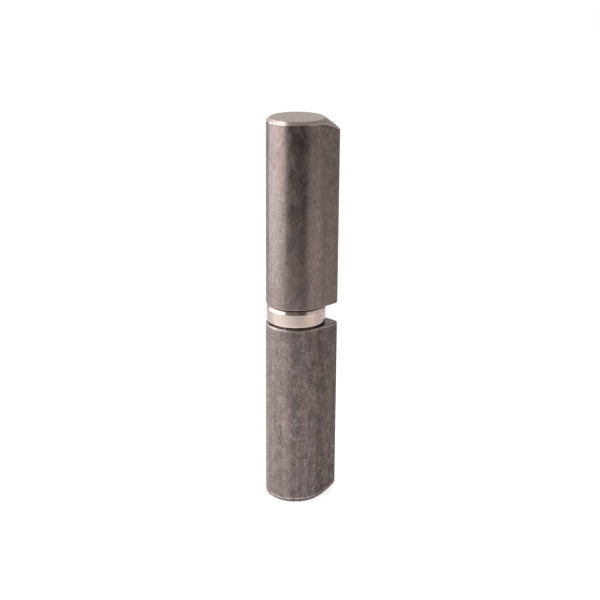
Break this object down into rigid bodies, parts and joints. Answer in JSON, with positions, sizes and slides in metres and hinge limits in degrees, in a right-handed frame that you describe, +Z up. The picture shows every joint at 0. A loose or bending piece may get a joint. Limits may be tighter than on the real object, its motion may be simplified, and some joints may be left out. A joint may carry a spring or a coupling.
{
  "type": "weld on barrel hinge",
  "caption": "Steel barrel hinge with a welding nose along each leaf. The upper leaf turns on a fixed pin over a covered ball bearing and lifts off.",
  "frame": {"origin": "on the hinge axis, at the centre of the lower leaf's flat outer end", "axes": "+Z up along the hinge axis, +X towards the welding noses, +Y across"},
  "size_m": [0.0236, 0.02, 0.13],
  "materials": {
    "drawn_steel": "raw drawn steel with thin scale and fine draw lines",
    "ground_steel": "ground, lightly oiled",
    "cover_steel": "bright plated sheet",
    "cage_steel": "pressed sheet, satin",
    "ball_steel": "polished"
  },
  "bodies": {
    "lower": {"lower_leaf": "drawn_steel", "hinge_pin": "ground_steel", "lower_race": "ground_steel"},
    "bearing_top": {"bearing_cover": "cover_steel", "upper_race": "ground_steel"},
    "ball_set": {"ball_cage": "cage_steel", "ball_01": "ball_steel", "ball_02": "ball_steel", "ball_03": "ball_steel", "ball_04": "ball_steel", "ball_05": "ball_steel", "ball_06": "ball_steel", "ball_07": "ball_steel", "ball_08": "ball_steel", "ball_09": "ball_steel", "ball_10": "ball_steel", "ball_11": "ball_steel", "ball_12": "ball_steel", "ball_13": "ball_steel", "ball_14": "ball_steel"},
    "upper": {"upper_leaf": "drawn_steel"}
  },
  "joints": [
    {"name": "leaf_swing", "type": "hinge", "parent": "lower", "child": "bearing_top", "pos_m": [0, 0, 0.06825], "axis": [0, 0, 1], "continuous": true},
    {"name": "leaf_lift", "type": "slide", "parent": "bearing_top", "child": "upper", "axis": [0, 0, 1], "range_m": [0, 0.03]},
    {"name": "ball_orbit", "type": "hinge", "parent": "lower", "child": "ball_set", "pos_m": [0, 0, 0.0647], "axis": [0, 0, 1], "continuous": true}
  ],
  "couplings": [
    {"joint": "ball_orbit", "follows": "leaf_swing", "ratio": 0.5}
  ]
}
